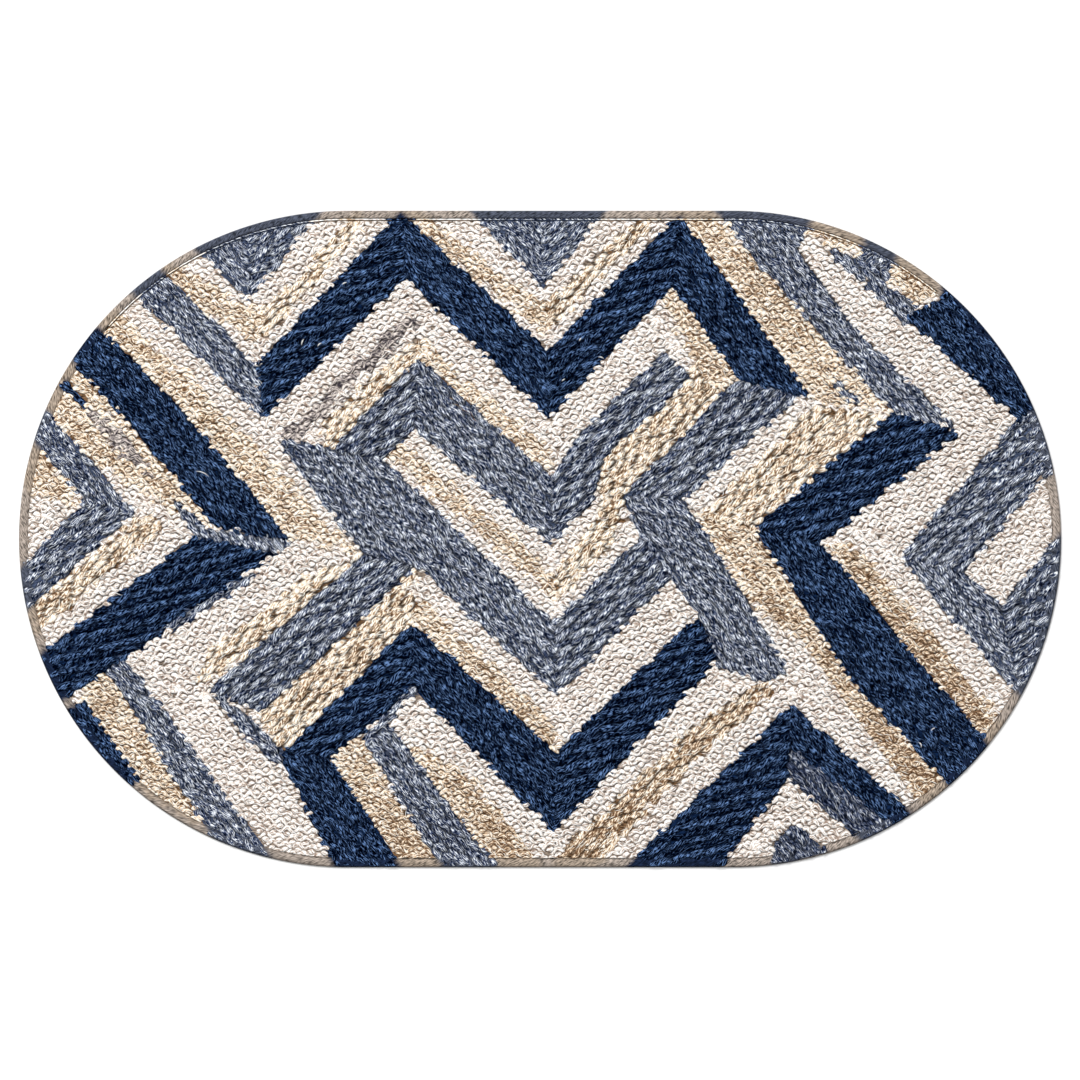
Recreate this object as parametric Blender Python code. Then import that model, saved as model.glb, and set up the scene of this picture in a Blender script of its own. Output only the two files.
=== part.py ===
"""An oval braided rug, lying flat: a field of braided strips in four yarns, with a binding sewn round it.

Metres, +Z up. X runs along the rug's length. The origin is at the middle of the underside, on the floor.
"""

import math
from collections import namedtuple

import bmesh
import bpy
import numpy as np
from mathutils import Vector
from mathutils.geometry import delaunay_2d_cdt

MM = 0.001

# Driving dimensions, in mm. The oval is two half circles joined by straight sides.
LENGTH = 800.0
WIDTH = 504.0
STEPS_PER_END = 40  # flats on each half circle

BINDING_WIDTH = 6.5
BINDING_HEIGHT = 4.8
BINDING_OUTER_HEIGHT = 2.6
BINDING_INNER_HEIGHT = 4.0
BINDING_ROUNDING = 1.4  # how far in from each side the binding is as high as it gets
CLEARANCE = 0.3  # between the binding and the field

ROPE_HEIGHT = 8.8  # crest of a strip of plaited navy or denim yarn
KNIT_HEIGHT = 8.0  # crest of a strip of cream or tan stitches
VALLEY_HEIGHT = 6.2  # where two strips meet
RIM_HEIGHT = 4.6  # where the field meets its binding
SHOULDER = 5.0  # from a valley to the crest beside it
MERGE = 0.3  # points of the chart nearer to each other than this are one
FINE_MERGE = 0.003  # the same on the underside
MIDDLE_STEPS = 8  # along the middle of the underside
INSIDE_ONLY = 1  # the triangulation keeps only what lies inside its faces
GAMMA = 2.2

# sRGB colour and roughness of each yarn
YARNS = {
    "navy": ((0.11, 0.20, 0.33), 0.9),
    "denim": ((0.36, 0.42, 0.52), 0.9),
    "tan": ((0.84, 0.73, 0.57), 0.95),
    "cream": ((0.94, 0.91, 0.87), 0.95),
    "taupe": ((0.70, 0.66, 0.61), 0.9),
}
ROPE_YARNS = ("navy", "denim")

# A strip is one length of braid, folded where it turns. A fold is the line across it, from its near edge to
# its far edge, in mm from the middle of the rug. Later strips lie over earlier ones, and the cream ground
# shows between them.
Fold = namedtuple("Fold", "near_x near_y far_x far_y")
Strip = namedtuple("Strip", "yarn place folds")

STRIPS = (
    Strip("tan", "upper left valley", (
        Fold(-299, 223, -307, 208),
        Fold(-218, 174, -217, 149),
        Fold(-184, 201, -182, 184),
        Fold(-140, 255, -132, 243),
    )),
    Strip("tan", "upper middle valley", (
        Fold(-104, 262, -111, 253),
        Fold(-31, 203, -31, 184),
        Fold(5, 180, 5, 157),
        Fold(46, 219, 48, 202),
        Fold(81, 251, 88, 242),
    )),
    Strip("tan", "beside the left navy strip", (
        Fold(-342, 190, -349, 160),
        Fold(-261, 116, -269, 76),
        Fold(-213, 68, -219, 22),
        Fold(-184, 32, -192, -1),
        Fold(-140, -10, -161, -7),
    )),
    Strip("tan", "left middle, rising", (
        Fold(-137, -10, -134, -16),
        Fold(-184, -30, -180, -56),
        Fold(-257, -89, -265, -119),
    )),
    Strip("tan", "over the middle left peak", (
        Fold(-170, 85, -158, 62),
        Fold(-98, 154, -89, 136),
    )),
    Strip("tan", "down to the middle valley", (
        Fold(-94, 153, -94, 133),
        Fold(8, 70, 9, 44),
    )),
    Strip("tan", "under the right navy peak", (
        Fold(104, 199, 94, 180),
        Fold(160, 119, 132, 116),
    )),
    Strip("tan", "inside the denim chevron", (
        Fold(-109, 76, -117, 64),
        Fold(-31, 10, -32, -7),
        Fold(11, -25, 12, -50),
        Fold(45, 21, 55, -5),
        Fold(46, 61, 66, 30),
        Fold(117, 133, 140, 108),
        Fold(157, 127, 158, 114),
    )),
    Strip("tan", "lower left, rising", (
        Fold(-218, -134, -197, -167),
        Fold(-94, -21, -98, -68),
    )),
    Strip("tan", "lower middle, falling", (
        Fold(-98, -39, -98, -68),
        Fold(13, -142, 13, -167),
    )),
    Strip("tan", "bottom, left of the last valley", (
        Fold(-106, -156, -111, -164),
        Fold(-61, -174, -63, -216),
        Fold(9, -256, -38, -263),
    )),
    Strip("tan", "bottom, right of the last valley", (
        Fold(6, -248, 25, -266),
        Fold(123, -141, 124, -160),
        Fold(175, -107, 181, -119),
    )),
    Strip("tan", "left edge, falling", (
        Fold(-369, 145, -378, 128),
        Fold(-322, 101, -329, 79),
        Fold(-247, 7, -272, 12),
    )),
    Strip("tan", "left edge, rising", (
        Fold(-395, -56, -392, -81),
        Fold(-338, -7, -338, -33),
        Fold(-299, 22, -288, 7),
    )),
    Strip("tan", "left edge patch", (
        Fold(-389, 76, -399, 39),
        Fold(-349, 28, -370, 28),
    )),
    Strip("tan", "lower left edge", (
        Fold(-336, -89, -355, -116),
        Fold(-250, -227, -307, -193),
    )),
    Strip("tan", "bottom, beside the navy turn", (
        Fold(-138, -150, -163, -167),
        Fold(-73, -256, -106, -256),
    )),
    Strip("tan", "right, falling from the top", (
        Fold(131, 256, 94, 256),
        Fold(271, 97, 204, 107),
    )),
    Strip("tan", "right, back and down to the edge", (
        Fold(271, 95, 209, 102),
        Fold(164, 9, 121, 17),
        Fold(200, -47, 160, -49),
        Fold(221, -81, 200, -79),
        Fold(326, -204, 296, -210),
    )),
    Strip("tan", "far right, falling", (
        Fold(243, -5, 219, -1),
        Fold(278, -48, 246, -47),
        Fold(365, -150, 342, -162),
    )),
    Strip("tan", "top right edge, first patch", (
        Fold(200, 251, 209, 233),
        Fold(255, 233, 247, 216),
    )),
    Strip("tan", "top right edge, second patch", (
        Fold(271, 223, 264, 200),
        Fold(311, 197, 290, 174),
    )),
    Strip("denim", "top left V", (
        Fold(-261, 256, -283, 239),
        Fold(-223, 256, -223, 182),
        Fold(-170, 256, -165, 254),
    )),
    Strip("denim", "top middle V", (
        Fold(-48, 260, -60, 258),
        Fold(2, 260, 2, 191),
        Fold(52, 260, 55, 256),
    )),
    Strip("denim", "upper left, falling", (
        Fold(-299, 216, -321, 196),
        Fold(-217, 133, -213, 91),
    )),
    Strip("denim", "middle chevron", (
        Fold(-165, 63, -123, 58),
        Fold(-93, 139, -96, 84),
        Fold(9, 47, 8, -5),
        Fold(27, 76, 40, 28),
        Fold(38, 88, 49, 62),
        Fold(95, 144, 117, 124),
    )),
    Strip("denim", "lower chevron", (
        Fold(-196, 78, -199, 71),
        Fold(-121, 61, -134, -14),
        Fold(-88, 31, -94, -21),
        Fold(10, -64, 13, -121),
        Fold(77, 1, 101, -30),
    )),
    Strip("denim", "left middle, rising", (
        Fold(-136, -13, -94, -21),
        Fold(-255, -116, -213, -133),
    )),
    Strip("denim", "right of the middle", (
        Fold(150, 121, 200, 110),
        Fold(63, 32, 111, 30),
        Fold(77, 1, 128, 1),
        Fold(101, -30, 147, -28),
        Fold(121, -58, 164, -56),
        Fold(134, -97, 188, -97),
        Fold(169, -110, 190, -102),
    )),
    Strip("denim", "bottom, falling", (
        Fold(-117, -141, -137, -153),
        Fold(-26, -260, -69, -262),
    )),
    Strip("denim", "beside the lower left turn", (
        Fold(-244, -119, -253, -117),
        Fold(-218, -141, -230, -149),
        Fold(-195, -164, -201, -174),
    )),
    Strip("denim", "inside the lower right peak", (
        Fold(191, -157, 190, -184),
        Fold(280, -222, 252, -237),
    )),
    Strip("denim", "bottom right patch", (
        Fold(196, -217, 181, -233),
        Fold(220, -240, 177, -253),
    )),
    Strip("denim", "left edge turn", (
        Fold(-385, 107, -395, 82),
        Fold(-310, 21, -350, 28),
        Fold(-399, -60, -402, -25),
    )),
    Strip("denim", "lower left, falling", (
        Fold(-318, -91, -337, -94),
        Fold(-203, -248, -249, -233),
    )),
    Strip("denim", "right, falling from the top", (
        Fold(215, 256, 123, 264),
        Fold(197, 222, 161, 220),
        Fold(246, 157, 217, 155),
        Fold(322, 84, 271, 97),
    )),
    Strip("denim", "right edge turn", (
        Fold(384, 113, 411, 72),
        Fold(275, -14, 325, -25),
        Fold(370, -124, 353, -50),
        Fold(422, -62, 407, 13),
    )),
    Strip("denim", "top right curl", (
        Fold(221, 223, 227, 213),
        Fold(247, 214, 243, 199),
        Fold(273, 213, 266, 197),
    )),
    Strip("denim", "top right curl, to the edge", (
        Fold(249, 236, 276, 222),
        Fold(247, 213, 269, 205),
    )),
    Strip("denim", "top right curl, falling", (
        Fold(261, 199, 246, 197),
        Fold(298, 174, 280, 164),
    )),
    Strip("navy", "upper zigzag", (
        Fold(-217, 134, -213, 91),
        Fold(-107, 252, -103, 200),
        Fold(6, 144, 7, 92),
        Fold(107, 250, 101, 193),
        Fold(209, 108, 155, 120),
    )),
    Strip("navy", "left, falling", (
        Fold(-347, 171, -369, 148),
        Fold(-276, 101, -292, 61),
        Fold(-189, -3, -249, 9),
    )),
    Strip("navy", "left, rising", (
        Fold(-261, 5, -200, -10),
        Fold(-392, -94, -378, -133),
    )),
    Strip("navy", "lower left edge", (
        Fold(-349, -124, -369, -133),
        Fold(-306, -185, -330, -197),
    )),
    Strip("navy", "lower zigzag", (
        Fold(-101, -260, -154, -262),
        Fold(-160, -167, -199, -166),
        Fold(-96, -116, -98, -64),
        Fold(10, -226, 13, -164),
        Fold(136, -94, 121, -58),
    )),
    Strip("navy", "lower right peak, rising", (
        Fold(55, -262, 132, -262),
        Fold(193, -126, 190, -184),
    )),
    Strip("navy", "lower right peak, falling", (
        Fold(193, -126, 191, -159),
        Fold(299, -222, 280, -227),
    )),
    Strip("navy", "right turn", (
        Fold(323, 82, 271, 97),
        Fold(217, -3, 164, 9),
        Fold(275, -75, 238, -108),
        Fold(355, -169, 324, -201),
    )),
    Strip("navy", "right edge, inner", (
        Fold(307, 184, 280, 170),
        Fold(384, 105, 367, 90),
    )),
    Strip("navy", "right edge, outer", (
        Fold(308, 222, 308, 182),
        Fold(407, 122, 382, 104),
    )),
)


def clear_scene():
    for old in list(bpy.data.objects):
        bpy.data.objects.remove(old)


def oval(inset):
    """The oval's outline in mm, moved in by inset, anticlockwise from the foot of its right end."""
    radius = WIDTH / 2 - inset
    centre = (LENGTH - WIDTH) / 2
    points = []
    for side, start in ((1, -math.pi / 2), (-1, math.pi / 2)):
        for step in range(STEPS_PER_END + 1):
            angle = start + math.pi * step / STEPS_PER_END
            points.append((side * centre + radius * math.cos(angle), radius * math.sin(angle)))
    return points


def legs():
    """Each straight leg of each strip: its two edges, and a key that it shares with a leg it runs on into."""
    for number, strip in enumerate(STRIPS):
        for start, end in zip(strip.folds, strip.folds[1:]):
            near = ((start.near_x, start.near_y), (end.near_x, end.near_y))
            far = ((start.far_x, start.far_y), (end.far_x, end.far_y))
            run = np.add(near[1], far[1]) - np.add(near[0], far[0])
            rises = bool(run[0] * run[1] > 0)
            yield near, far, (number, rises)


def shoulders(edge, other):
    """The lines beside one edge of a leg, a shoulder's width inside and outside it."""
    a, b = np.array(edge, float)
    along = (b - a) / np.linalg.norm(b - a)
    across = np.array((-along[1], along[0]))
    if (np.mean(other, axis=0) - a) @ across < 0:
        across = -across
    for side in (SHOULDER, -SHOULDER):
        yield a + side * across, b + side * across


def chart_of_strips(outline):
    """The field's plan: its points, and its triangles, each with the key of the strip on top there."""
    points = [Vector(p) for p in outline]
    edges = []
    faces = [list(range(len(outline)))]
    keys = [None]
    for near, far, key in legs():
        corners = [Vector(p) for p in (near[0], near[1], far[1], far[0])]
        if (corners[2] - corners[0]).cross(corners[3] - corners[1]) < 0:
            corners.reverse()  # each face runs anticlockwise
        faces.append(list(range(len(points), len(points) + 4)))
        points += corners
        keys.append(key)
        for edge, other in ((near, far), (far, near)):
            for line in shoulders(edge, other):
                edges.append((len(points), len(points) + 1))
                points += [Vector(p) for p in line]
    plan, _, triangles, _, _, origins = delaunay_2d_cdt(points, edges, faces, INSIDE_ONLY, MERGE)
    kept = [(t, keys[max(o)]) for t, o in zip(triangles, origins) if 0 in o]
    return np.array([p[:] for p in plan]), kept


def borders(kept):
    """The plan's edges between two strips, as pairs of points, and those round the outline."""
    beside = {}
    for triangle, key in kept:
        for a, b in zip(triangle, triangle[1:] + triangle[:1]):
            beside.setdefault((min(a, b), max(a, b)), []).append(key)
    rim = [edge for edge, keys in beside.items() if len(keys) == 1]
    seams = [edge for edge, keys in beside.items() if len(set(keys)) == 2]
    return np.array(seams), np.array(rim)


def to_nearest(points, starts, ends):
    """The way from each point to the nearest of the segments."""
    along = ends - starts
    offset = points[:, None] - starts[None]
    share = (offset * along).sum(2) / (along**2).sum(1)
    apart = offset - share.clip(0, 1)[:, :, None] * along
    nearest = (apart**2).sum(2).argmin(1)
    return -apart[np.arange(len(points)), nearest]


def heights(plan, kept, seams, rim):
    """How high each point of the field's top face is: crests on the strips, valleys between them."""
    crest = np.full(len(plan), KNIT_HEIGHT)
    for triangle, key in kept:
        if key and STRIPS[key[0]].yarn in ROPE_YARNS:
            crest[triangle] = ROPE_HEIGHT
    for edges, foot in ((seams, VALLEY_HEIGHT), (rim, RIM_HEIGHT)):
        way = to_nearest(plan, plan[edges[:, 0]], plan[edges[:, 1]])
        near = np.hypot(*way.T) / SHOULDER
        crest = np.minimum(crest, foot + (crest - foot) * np.sin(near.clip(0, 1) * math.pi / 2))
    return crest


def rim_loop(rim):
    """The points round the outline, in order."""
    following = {}
    for a, b in rim:
        following.setdefault(a, []).append(b)
        following.setdefault(b, []).append(a)
    loop = [int(rim[0][0])]
    while len(loop) < len(following):
        loop.append(int(next(n for n in following[loop[-1]] if n not in loop[-2:] and n != loop[0])))
    return loop


def underside(ring):
    """The flat underside within the ring: points along the rug's middle, and the triangles."""
    straight = LENGTH - WIDTH
    middle = [Vector((straight * (step / MIDDLE_STEPS - 0.5), 0)) for step in range(MIDDLE_STEPS + 1)]
    flat = [Vector(p) for p in ring] + middle
    face = list(range(len(ring)))
    plan, _, triangles, _, _, _ = delaunay_2d_cdt(flat, [], [face], INSIDE_ONLY, FINE_MERGE)
    return np.array([p[:] for p in plan[len(ring):]]), triangles


def yarn_material(name):
    colour, roughness = YARNS[name]
    material = bpy.data.materials.new(name + " yarn")
    material.use_nodes = True
    shader = material.node_tree.nodes["Principled BSDF"]
    shader.inputs["Base Color"].default_value = (*(c**GAMMA for c in colour), 1)
    shader.inputs["Roughness"].default_value = roughness
    shader.inputs["Metallic"].default_value = 0
    return material


def new_object(name, points, faces, yarns, yarn_of_face):
    """One closed mesh from points in mm, with its faces turned outwards."""
    mesh = bpy.data.meshes.new(name)
    mesh.from_pydata([Vector(p) * MM for p in points], [], faces)
    for yarn in yarns:
        mesh.materials.append(yarn_material(yarn))
    mesh.polygons.foreach_set("material_index", yarn_of_face)
    shape = bmesh.new()
    shape.from_mesh(mesh)
    bmesh.ops.recalc_face_normals(shape, faces=shape.faces)
    shape.to_mesh(mesh)
    shape.free()
    made = bpy.data.objects.new(name, mesh)
    bpy.context.collection.objects.link(made)
    return made


def make_field():
    """The braided field: a flat underside, a low wall, and a top face ribbed by its strips."""
    outline = np.array(oval(BINDING_WIDTH + CLEARANCE))
    plan, kept = chart_of_strips(outline)
    seams, rim = borders(kept)
    loop = rim_loop(rim)
    plan[loop] += to_nearest(plan[loop], outline, np.roll(outline, -1, axis=0))
    height = heights(plan, kept, seams, rim)

    used = sorted({int(p) for triangle, _ in kept for p in triangle})
    place = {old: new for new, old in enumerate(used)}
    points = [(*plan[p], height[p]) for p in used]
    yarns = ["cream", "tan", "denim", "navy"]
    faces = [[place[p] for p in triangle] for triangle, _ in kept]
    colours = [yarns.index(STRIPS[key[0]].yarn) if key else 0 for _, key in kept]

    ring = plan[loop]
    inner, triangles = underside(ring)
    floor = len(points)
    points += [(*p, 0) for p in (*ring, *inner)]
    faces += [[floor + p for p in triangle] for triangle in triangles]
    for step, top in enumerate(loop):
        after = (step + 1) % len(loop)
        faces.append([place[top], place[loop[after]], floor + after, floor + step])
    colours += [0] * (len(faces) - len(colours))
    return new_object("rug_field", points, faces, yarns, colours)


def make_binding():
    """The binding: one rounded section carried round the oval."""
    section = (
        (0, 0),
        (0, BINDING_OUTER_HEIGHT),
        (BINDING_ROUNDING, BINDING_HEIGHT),
        (BINDING_WIDTH - BINDING_ROUNDING, BINDING_HEIGHT),
        (BINDING_WIDTH, BINDING_INNER_HEIGHT),
        (BINDING_WIDTH, 0),
    )
    points = [(*p, height) for inset, height in section for p in oval(inset)]
    around = len(oval(0))
    faces = []
    for row in range(len(section)):
        below, above = row * around, (row + 1) % len(section) * around
        for step in range(around):
            after = (step + 1) % around
            faces.append([below + step, below + after, above + after, above + step])
    return new_object("edge_binding", points, faces, ["taupe"], [0] * len(faces))


clear_scene()
make_field()
make_binding()
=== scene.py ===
"""The looks of an oval braided rug: knitted and plaited yarn over its flat core, and the braid sewn round it.

Sizes are in mm, in the frame's own axes, and become metres where a mesh is made.
"""

import math
from collections import namedtuple

import bpy
import numpy as np
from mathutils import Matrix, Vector
from mathutils.bvhtree import BVHTree


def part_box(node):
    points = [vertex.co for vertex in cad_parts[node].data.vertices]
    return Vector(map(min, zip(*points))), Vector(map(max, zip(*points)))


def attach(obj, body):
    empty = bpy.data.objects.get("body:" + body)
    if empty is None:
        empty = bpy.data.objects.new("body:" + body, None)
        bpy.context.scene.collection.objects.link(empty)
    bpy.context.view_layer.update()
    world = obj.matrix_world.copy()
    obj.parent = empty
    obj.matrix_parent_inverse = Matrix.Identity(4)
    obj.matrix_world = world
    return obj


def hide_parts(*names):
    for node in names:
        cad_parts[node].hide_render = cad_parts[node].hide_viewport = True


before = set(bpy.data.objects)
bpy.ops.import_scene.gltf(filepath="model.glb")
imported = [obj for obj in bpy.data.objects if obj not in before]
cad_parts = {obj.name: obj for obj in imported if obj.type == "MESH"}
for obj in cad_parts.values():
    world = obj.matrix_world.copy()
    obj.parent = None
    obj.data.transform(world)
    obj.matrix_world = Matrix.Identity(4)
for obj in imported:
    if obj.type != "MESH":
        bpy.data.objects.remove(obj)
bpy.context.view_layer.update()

MM = 0.001

# ---------------------------------------------------------------- sizes from the frame
outer_low, outer_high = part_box("edge_binding")
field_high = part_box("rug_field")[1]
LENGTH = (outer_high.x - outer_low.x) / MM
WIDTH = (outer_high.y - outer_low.y) / MM
BINDING_WIDTH = (outer_high.x - field_high.x) / MM
RADIUS = WIDTH / 2
REACH = (LENGTH - WIDTH) / 2  # from the rug's middle to the middle of each round end

# ---------------------------------------------------------------- the chart of strips
# A strip is one length of braid, folded where it turns: its yarn, its place, only for the reader, and its
# folds. A fold is the line across it, given by x and y of its near end and x and y of its far end, in mm from
# the middle of the rug. Later strips lie over earlier ones, and the cream ground shows between them.

STRIPS = (
    ("tan", "upper left valley", (
        (-299, 223, -307, 208), (-218, 174, -217, 149), (-184, 201, -182, 184), (-140, 255, -132, 243),
    )),
    ("tan", "upper middle valley", (
        (-104, 262, -111, 253), (-31, 203, -31, 184), (5, 180, 5, 157), (46, 219, 48, 202),
        (81, 251, 88, 242),
    )),
    ("tan", "beside the left navy strip", (
        (-342, 190, -349, 160), (-261, 116, -269, 76), (-213, 68, -219, 22), (-184, 32, -192, -1),
        (-140, -10, -161, -7),
    )),
    ("tan", "left middle, rising", (
        (-137, -10, -134, -16), (-184, -30, -180, -56), (-257, -89, -265, -119),
    )),
    ("tan", "over the middle left peak", ((-170, 85, -158, 62), (-98, 154, -89, 136))),
    ("tan", "down to the middle valley", ((-94, 153, -94, 133), (8, 70, 9, 44))),
    ("tan", "under the right navy peak", ((104, 199, 94, 180), (160, 119, 132, 116))),
    ("tan", "inside the denim chevron", (
        (-109, 76, -117, 64), (-31, 10, -32, -7), (11, -25, 12, -50), (45, 21, 55, -5), (46, 61, 66, 30),
        (117, 133, 140, 108), (157, 127, 158, 114),
    )),
    ("tan", "lower left, rising", ((-218, -134, -197, -167), (-94, -21, -98, -68))),
    ("tan", "lower middle, falling", ((-98, -39, -98, -68), (13, -142, 13, -167))),
    ("tan", "bottom, left of the last valley", (
        (-106, -156, -111, -164), (-61, -174, -63, -216), (9, -256, -38, -263),
    )),
    ("tan", "bottom, right of the last valley", (
        (6, -248, 25, -270), (123, -139, 124, -167), (175, -107, 181, -119),
    )),
    ("tan", "left edge, falling", ((-369, 145, -393, 108), (-322, 101, -350, 64), (-247, 7, -276, 16))),
    ("tan", "left edge, rising", ((-395, -56, -392, -81), (-338, -7, -338, -33), (-299, 22, -288, 7))),
    ("tan", "left edge patch", ((-389, 76, -399, 39), (-349, 28, -370, 28))),
    ("tan", "lower left edge", ((-336, -89, -355, -116), (-250, -227, -307, -193))),
    ("tan", "bottom, beside the navy turn", ((-138, -150, -163, -167), (-73, -256, -106, -256))),
    ("tan", "right, falling from the top", ((131, 256, 94, 256), (271, 97, 204, 107))),
    ("tan", "right, back and down to the edge", (
        (271, 95, 209, 102), (164, 9, 121, 17), (200, -47, 160, -49), (221, -81, 200, -79),
        (326, -204, 296, -210),
    )),
    ("tan", "far right, falling", ((243, -5, 219, -1), (278, -48, 246, -47), (365, -150, 342, -162))),
    ("tan", "top right edge, first patch", ((200, 251, 209, 233), (255, 233, 247, 216))),
    ("tan", "top right edge, second patch", ((271, 223, 264, 200), (311, 197, 290, 174))),
    ("denim", "top left V", ((-261, 256, -283, 239), (-223, 256, -223, 182), (-170, 256, -165, 254))),
    ("denim", "top middle V", ((-48, 260, -60, 258), (2, 260, 2, 191), (52, 260, 55, 256))),
    ("denim", "upper left, falling", ((-299, 216, -321, 196), (-217, 133, -213, 91))),
    ("denim", "middle chevron", (
        (-165, 63, -123, 58), (-93, 139, -96, 84), (9, 47, 8, -5), (27, 76, 40, 28), (38, 88, 49, 62),
        (95, 144, 117, 124),
    )),
    ("denim", "lower chevron", (
        (-196, 78, -199, 71), (-121, 61, -134, -14), (-88, 31, -94, -21), (10, -64, 13, -121),
        (77, 1, 101, -30),
    )),
    ("denim", "left middle, rising", ((-136, -13, -94, -21), (-255, -116, -213, -133))),
    ("denim", "right of the middle", (
        (150, 121, 200, 110), (63, 32, 111, 30), (77, 1, 128, 1), (101, -30, 147, -28),
        (121, -58, 164, -56), (134, -97, 188, -97), (169, -110, 190, -102),
    )),
    ("denim", "bottom, falling", ((-117, -141, -137, -153), (-26, -260, -69, -262))),
    ("denim", "beside the lower left turn", (
        (-244, -119, -253, -117), (-218, -141, -230, -149), (-195, -164, -201, -174),
    )),
    ("denim", "inside the lower right peak", ((191, -157, 190, -184), (280, -222, 252, -237))),
    ("denim", "bottom right patch", ((196, -217, 181, -233), (220, -240, 177, -253))),
    ("denim", "left edge turn", ((-385, 107, -395, 82), (-310, 21, -350, 28), (-399, -60, -402, -25))),
    ("denim", "lower left, falling", ((-318, -91, -337, -94), (-203, -248, -249, -233))),
    ("denim", "right, falling from the top", (
        (215, 256, 123, 264), (197, 222, 161, 220), (246, 157, 217, 155), (322, 84, 271, 97),
    )),
    ("denim", "right edge turn", (
        (384, 113, 411, 72), (275, -14, 325, -25), (370, -124, 353, -50), (422, -62, 407, 13),
    )),
    ("denim", "top right curl", ((221, 223, 227, 213), (247, 214, 243, 199), (273, 213, 266, 197))),
    ("denim", "top right curl, to the edge", ((249, 236, 276, 222), (247, 213, 269, 205))),
    ("denim", "top right curl, falling", ((261, 199, 246, 197), (298, 174, 280, 164))),
    ("navy", "upper zigzag", (
        (-217, 134, -213, 91), (-107, 252, -103, 200), (6, 144, 7, 92), (107, 250, 101, 193),
        (209, 108, 155, 120),
    )),
    ("navy", "left, falling", ((-347, 171, -369, 148), (-276, 101, -292, 61), (-189, -3, -249, 9))),
    ("navy", "left, rising", ((-261, 5, -200, -10), (-392, -94, -378, -133))),
    ("navy", "lower left edge", ((-349, -124, -369, -133), (-306, -185, -330, -197))),
    ("navy", "lower zigzag", (
        (-101, -260, -154, -262), (-160, -167, -199, -166), (-96, -116, -98, -64), (10, -226, 13, -164),
        (136, -94, 121, -58),
    )),
    ("navy", "lower right peak, rising", ((55, -262, 132, -262), (193, -126, 190, -184))),
    ("navy", "lower right peak, falling", ((193, -126, 191, -159), (299, -222, 280, -227))),
    ("navy", "right turn", (
        (323, 82, 271, 97), (217, -3, 164, 9), (275, -75, 238, -108), (355, -169, 324, -201),
    )),
    ("navy", "right edge, inner", ((307, 184, 280, 170), (384, 105, 367, 90))),
    ("navy", "right edge, outer", ((308, 222, 308, 182), (407, 122, 382, 104))),
)

# Single lengths of yarn that stray between the strips.
STRAYS = (
    ("ash", "above the middle left peak", ((-102, 173, -94, 165), (-197, 81, -189, 71))),
    ("denim", "under the lower navy peak", ((-138, -154, -132, -159), (-98, -111, -94, -117))),
    ("denim", "over the left navy strip", (
        (-278, 30, -283, 25), (-256, 8, -263, 1), (-189, -1, -200, -11),
    )),
    ("denim", "under the left navy strip", (
        (-218, -24, -216, -28), (-250, -43, -251, -53), (-288, -66, -283, -72),
    )),
    ("denim", "in the right tan strip", ((229, 122, 226, 119), (246, 104, 242, 100))),
    ("ash", "beside the left navy strip", ((-344, 101, -349, 94), (-297, 58, -303, 51))),
    ("navy", "beside the left navy strip", ((-364, 123, -369, 117), (-344, 104, -349, 98))),
)

YARN_NAMES = ("cream", "tan", "denim", "navy", "ash")
CREAM = YARN_NAMES.index("cream")


def legs():
    """Each straight leg of each strip: its yarn's number, its corners and whether it rises to the right."""
    for yarn, _, folds in STRIPS + STRAYS:
        folds = np.array(folds, float).reshape(-1, 2, 2)
        for (near, far), (next_near, next_far) in zip(folds, folds[1:]):
            corners = np.stack((near, next_near, next_far, far))
            run = corners[1] + corners[2] - corners[0] - corners[3]
            yield YARN_NAMES.index(yarn), corners, bool(run[0] * run[1] > 0)


LEGS = tuple(legs())


def within(points, corners):
    """Which of the points lie inside the polygon."""
    inside = np.zeros(len(points), bool)
    x, y = points.T
    for (ax, ay), (bx, by) in zip(corners, np.roll(corners, -1, axis=0)):
        if ay != by:
            crosses = (ay > y) != (by > y)
            inside ^= crosses & (x < ax + (bx - ax) * (y - ay) / (by - ay))
    return inside


def nearest_rises(points):
    """Whether the leg whose side is nearest to each point rises to the right."""
    nearest = np.full(len(points), np.inf)
    rises = np.zeros(len(points), bool)
    for _, corners, rising in LEGS:
        for a, b in ((corners[0], corners[1]), (corners[3], corners[2])):
            along = b - a
            share = ((points - a) @ along / (along @ along)).clip(0, 1)
            gap = np.hypot(*(points - a - share[:, None] * along).T)
            rises = np.where(gap < nearest, rising, rises)
            nearest = np.minimum(nearest, gap)
    return rises


EDGE_WANDER = 1.8  # mm that the knitted strips' edges wander to and fro
WANDERING = (YARN_NAMES.index("tan"), YARN_NAMES.index("ash"))
KNITTED = (CREAM, *WANDERING)


def wandered(points):
    """The points moved a little to and fro, so that an edge looked up there isn't straight."""
    x, y = points.T
    shift = np.stack((np.sin(x / 2.3 + y / 3.1), np.cos(x / 3.4 - y / 2.1)), 1)
    return points + EDGE_WANDER * shift


def chart(points):
    """The number of the yarn on top at each point of the plan, and whether it runs rising there."""
    yarn = np.full(len(points), CREAM)
    rises = np.zeros(len(points), bool)
    bare = np.ones(len(points), bool)
    loose = wandered(points)
    for number, corners, rising in LEGS:
        looked_up = loose if number in WANDERING else points
        low, high = corners.min(0), corners.max(0)
        near = np.flatnonzero(((looked_up > low) & (looked_up < high)).all(1))
        covered = near[within(looked_up[near], corners)]
        yarn[covered] = number
        rises[covered] = rising
        bare[covered] = False
    rises[bare] = nearest_rises(points[bare])
    return yarn, rises


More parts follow.
